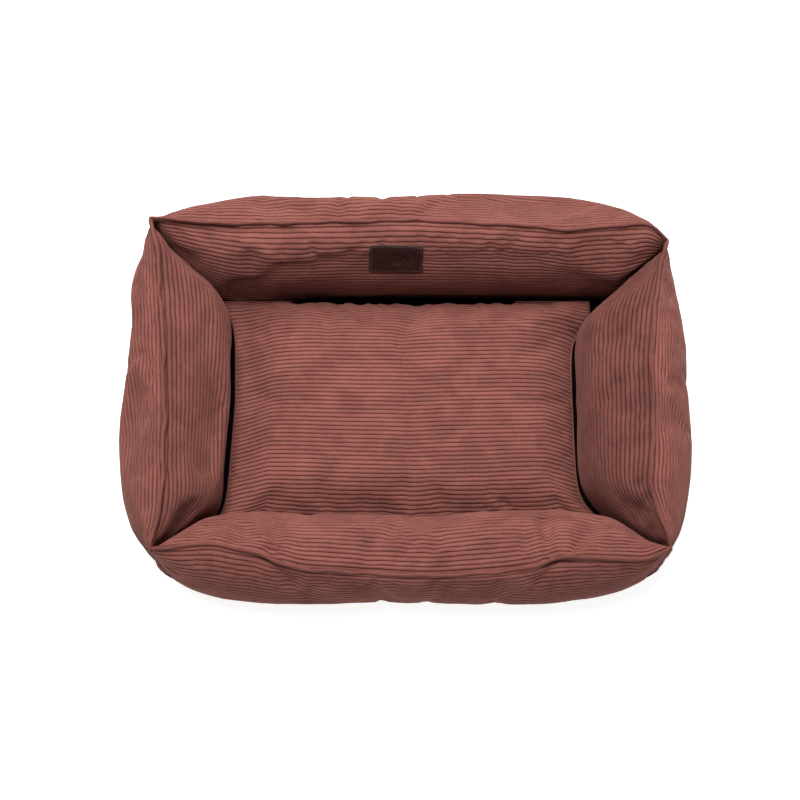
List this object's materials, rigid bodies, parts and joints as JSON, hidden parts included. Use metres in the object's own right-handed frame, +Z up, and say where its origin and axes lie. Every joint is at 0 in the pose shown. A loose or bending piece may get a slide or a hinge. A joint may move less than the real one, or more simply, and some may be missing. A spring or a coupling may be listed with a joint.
{
  "type": "pet bed",
  "caption": "Rectangular bolster bed for a cat or small dog: stuffed corduroy walls round a loose seat cushion, on a non-slip base.",
  "frame": {"origin": "on the floor, under the middle of the bed's outer box", "axes": "+X along the bed's long side, +Y towards the back wall that carries the leather patch, +Z up"},
  "size_m": [0.7978, 0.5996, 0.1776],
  "materials": {
    "corduroy": "wide-wale cotton corduroy, dusty red-brown pile",
    "seam_welt": "corduroy seam edge, slightly darker",
    "fibre_fill": "loose white polyester fibre",
    "base_cloth": "plain woven non-slip cloth",
    "binding_tape": "folded woven tape",
    "grip_rubber": "matte moulded dots",
    "leather": "smooth dark plum leather with an embossed border",
    "thread": "waxed thread",
    "zip_tape": "woven polyester tape",
    "zip_coil": "nylon coil",
    "zip_metal": "satin antique nickel"
  },
  "bodies": {
    "bed": {"back_inner_panel": "corduroy", "back_outer_panel": "corduroy", "back_stuffing": "fibre_fill", "back_rim_seam": "seam_welt", "front_inner_panel": "corduroy", "front_outer_panel": "corduroy", "front_stuffing": "fibre_fill", "front_rim_seam": "seam_welt", "left_inner_panel": "corduroy", "left_outer_panel": "corduroy", "left_stuffing": "fibre_fill", "left_rim_seam": "seam_welt", "right_inner_panel": "corduroy", "right_outer_panel": "corduroy", "right_stuffing": "fibre_fill", "right_rim_seam": "seam_welt", "back_left_corner_seam": "seam_welt", "back_right_corner_seam": "seam_welt", "front_left_corner_seam": "seam_welt", "front_right_corner_seam": "seam_welt", "base_panel": "base_cloth", "base_binding": "binding_tape", "grip_dots": "grip_rubber", "leather_patch": "leather", "patch_stitches": "thread"},
    "seat_cushion": {"seat_top_panel": "corduroy", "seat_bottom_panel": "corduroy", "seat_stuffing": "fibre_fill", "seat_edge_seam": "seam_welt", "zip_tapes": "zip_tape", "zip_coils": "zip_coil", "zip_stops": "zip_metal"},
    "zip_slider": {"zip_slider": "zip_metal"},
    "zip_pull": {"zip_pull": "zip_metal"}
  },
  "joints": [
    {"name": "seat_lift", "type": "slide", "parent": "bed", "child": "seat_cushion", "axis": [0, 0, 1], "range_m": [0, 0.25]},
    {"name": "zip_travel", "type": "slide", "parent": "seat_cushion", "child": "zip_slider", "axis": [-1, 0, 0], "range_m": [0, 0.27]},
    {"name": "pull_swing", "type": "hinge", "parent": "zip_slider", "child": "zip_pull", "pos_m": [0.1355, 0.1366, 0.0347], "axis": [0, 0, -1], "range_deg": [0, 22]}
  ]
}
